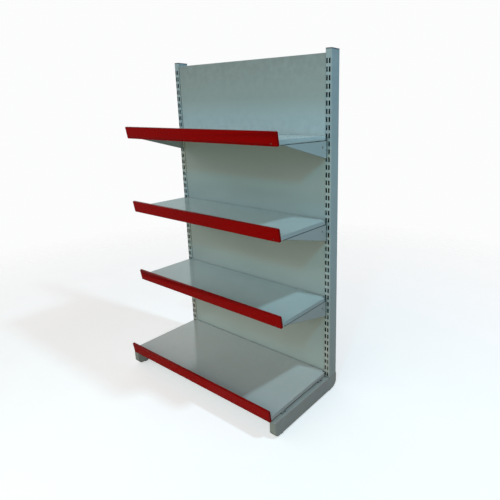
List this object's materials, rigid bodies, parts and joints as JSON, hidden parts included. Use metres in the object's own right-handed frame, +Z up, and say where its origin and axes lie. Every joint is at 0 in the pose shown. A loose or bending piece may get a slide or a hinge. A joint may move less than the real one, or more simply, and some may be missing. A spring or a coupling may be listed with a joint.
{
  "type": "gondola shelving bay",
  "caption": "Single-sided steel shelving bay: slotted uprights on base legs, back panels, deep base tray and bracket-hung shelf trays with red front rails.",
  "frame": {"origin": "on the floor, at the middle of the bay's footprint", "axes": "+X to the right seen from the front, +Y from the shelf fronts to the back, +Z up"},
  "size_m": [0.946, 0.46, 1.5],
  "materials": {
    "steel_grey": "semi-gloss powder coat",
    "panel_grey": "semi-gloss powder coat",
    "rail_red": "gloss powder coat",
    "zinc_steel": "bright zinc plate",
    "rivet_steel": "dulled zinc plate",
    "plastic_grey": "moulded",
    "plastic_black": "moulded"
  },
  "bodies": {
    "frame": {"upright_left": "steel_grey", "upright_right": "steel_grey", "upright_cap_left": "plastic_grey", "upright_cap_right": "plastic_grey", "base_leg_left": "steel_grey", "base_leg_right": "steel_grey", "leg_spigot_left": "steel_grey", "leg_spigot_right": "steel_grey", "spigot_bolts": "zinc_steel", "spigot_nuts": "zinc_steel", "leveller_bridges": "zinc_steel", "rear_tie_bottom": "steel_grey", "rear_tie_middle": "steel_grey", "rear_tie_top": "steel_grey", "tie_bolts": "zinc_steel", "tie_nuts": "zinc_steel", "back_panel_1": "panel_grey", "back_panel_2": "panel_grey", "back_panel_3": "panel_grey", "back_panel_4": "panel_grey", "base_tray_rests": "steel_grey"},
    "leveller_front_left": {"leveller_screw_front_left": "zinc_steel", "leveller_pad_front_left": "plastic_black"},
    "leveller_front_right": {"leveller_screw_front_right": "zinc_steel", "leveller_pad_front_right": "plastic_black"},
    "leveller_rear_left": {"leveller_screw_rear_left": "zinc_steel", "leveller_pad_rear_left": "plastic_black"},
    "leveller_rear_right": {"leveller_screw_rear_right": "zinc_steel", "leveller_pad_rear_right": "plastic_black"},
    "base_shelf": {"base_tray": "steel_grey", "base_stiffeners": "steel_grey", "base_rail": "rail_red", "base_rivets": "rivet_steel"},
    "lower_brackets": {"lower_bracket_left": "steel_grey", "lower_bracket_right": "steel_grey"},
    "lower_shelf": {"lower_tray": "steel_grey", "lower_stiffener": "steel_grey", "lower_rail": "rail_red", "lower_rivets": "rivet_steel"},
    "middle_brackets": {"middle_bracket_left": "steel_grey", "middle_bracket_right": "steel_grey"},
    "middle_shelf": {"middle_tray": "steel_grey", "middle_stiffener": "steel_grey", "middle_rail": "rail_red", "middle_rivets": "rivet_steel"},
    "top_brackets": {"top_bracket_left": "steel_grey", "top_bracket_right": "steel_grey"},
    "top_shelf": {"top_tray": "steel_grey", "top_stiffener": "steel_grey", "top_rail": "rail_red", "top_rivets": "rivet_steel"}
  },
  "joints": [
    {"name": "lower_tilt", "type": "hinge", "parent": "frame", "child": "lower_brackets", "pos_m": [0, 0.172, 0.45875], "axis": [-1, 0, 0], "range_deg": [0, 15]},
    {"name": "lower_lift", "type": "slide", "parent": "lower_brackets", "child": "lower_shelf", "axis": [0, -0.342, 0.9397], "range_m": [0, 0.1]},
    {"name": "middle_tilt", "type": "hinge", "parent": "frame", "child": "middle_brackets", "pos_m": [0, 0.172, 0.808], "axis": [-1, 0, 0], "range_deg": [0, 15]},
    {"name": "middle_lift", "type": "slide", "parent": "middle_brackets", "child": "middle_shelf", "axis": [0, -0.342, 0.9397], "range_m": [0, 0.1]},
    {"name": "top_tilt", "type": "hinge", "parent": "frame", "child": "top_brackets", "pos_m": [0, 0.172, 1.15725], "axis": [-1, 0, 0], "range_deg": [0, 15]},
    {"name": "top_lift", "type": "slide", "parent": "top_brackets", "child": "top_shelf", "axis": [0, -0.342, 0.9397], "range_m": [0, 0.1]},
    {"name": "base_lift", "type": "slide", "parent": "frame", "child": "base_shelf", "axis": [0, 0, 1], "range_m": [0, 0.1]},
    {"name": "leveller_front_left", "type": "slide", "parent": "frame", "child": "leveller_front_left", "axis": [0, 0, -1], "range_m": [0, 0.012]},
    {"name": "leveller_front_right", "type": "slide", "parent": "frame", "child": "leveller_front_right", "axis": [0, 0, -1], "range_m": [0, 0.012]},
    {"name": "leveller_rear_left", "type": "slide", "parent": "frame", "child": "leveller_rear_left", "axis": [0, 0, -1], "range_m": [0, 0.012]},
    {"name": "leveller_rear_right", "type": "slide", "parent": "frame", "child": "leveller_rear_right", "axis": [0, 0, -1], "range_m": [0, 0.012]}
  ]
}
